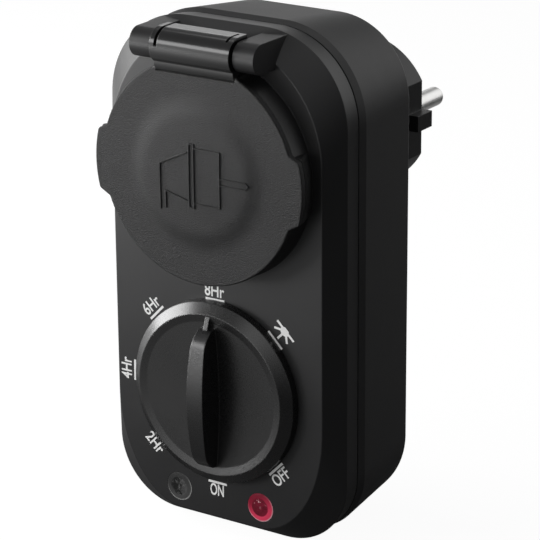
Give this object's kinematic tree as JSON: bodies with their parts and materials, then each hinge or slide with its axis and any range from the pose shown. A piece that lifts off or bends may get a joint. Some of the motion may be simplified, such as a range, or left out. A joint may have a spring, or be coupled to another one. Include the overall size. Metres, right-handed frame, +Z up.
{
  "type": "plug-in timer switch",
  "caption": "Outdoor plug-in timer switch with a lidded earthed socket, a rotary programme knob, sensor and indicator windows and a round earthed plug behind.",
  "frame": {"origin": "middle of the plug's end face, on the plug's axis midway between its two pins", "axes": "+Y into the wall along the pins, +Z up towards the lid's hinge, +X to the right as seen from the front"},
  "size_m": [0.064, 0.0929, 0.1233],
  "materials": {
    "case": "fine satin, moulded",
    "lid": "fine grain, moulded",
    "knob": "semi-gloss, moulded",
    "seal": "matte",
    "steel": "zinc plated",
    "nickel": "nickel plated, polished",
    "contact_brass": "bright stamped",
    "inner_plastic": "moulded",
    "board": "laminate",
    "clear": "clear, smooth",
    "red_clear": "tinted, smooth",
    "sensor": "lacquered",
    "component": "moulded epoxy",
    "film": "dipped",
    "can": "drawn",
    "varistor": "dipped"
  },
  "bodies": {
    "housing": {"front_housing": "case", "rear_housing": "case", "housing_seal": "seal", "housing_screws": "steel", "hinge_pin": "steel", "socket_insert": "case", "contact_carrier": "inner_plastic", "carrier_screws": "steel", "live_contact": "contact_brass", "neutral_contact": "contact_brass", "socket_earth_strap": "nickel", "shutter_spring": "steel", "plug_body": "case", "live_pin": "nickel", "neutral_pin": "nickel", "live_bar": "contact_brass", "neutral_bar": "contact_brass", "plug_earth_strap": "nickel", "earth_link": "contact_brass", "knob_seal": "seal", "switch_body": "inner_plastic", "switch_base": "board", "detent_leaf": "steel", "circuit_board": "board", "board_screws": "steel", "sensor_window": "clear", "indicator_window": "red_clear", "indicator_led": "red_clear", "light_sensor": "sensor", "relay": "component", "film_capacitor": "film", "electrolytic_capacitor": "can", "varistor": "varistor", "fuse": "clear", "microcontroller": "component", "crystal": "can"},
    "lid": {"socket_lid": "lid", "lid_gasket": "seal", "lid_spring": "steel"},
    "knob": {"knob": "knob", "switch_shaft": "inner_plastic", "switch_rotor": "inner_plastic", "switch_wiper": "contact_brass"},
    "shutter": {"shutter": "inner_plastic"}
  },
  "joints": [
    {"name": "lid_hinge", "type": "hinge", "parent": "housing", "child": "lid", "pos_m": [0, -0.06974, 0.0296], "axis": [-1, 0, 0], "range_deg": [0, 90], "stiffness_Nm_per_rad": 0.02, "springref_deg": -28.65, "deforming": ["lid_spring"]},
    {"name": "knob_turn", "type": "hinge", "parent": "housing", "child": "knob", "pos_m": [0, -0.0643, -0.0527], "axis": [0, 1, 0], "range_deg": [-225, 45], "deforming": ["detent_leaf"]},
    {"name": "shutter_turn", "type": "hinge", "parent": "housing", "child": "shutter", "pos_m": [0, -0.0452, 0.0012], "axis": [0, 1, 0], "range_deg": [0, 42], "stiffness_Nm_per_rad": 0.005, "springref_deg": -17.19, "deforming": ["shutter_spring"]}
  ]
}
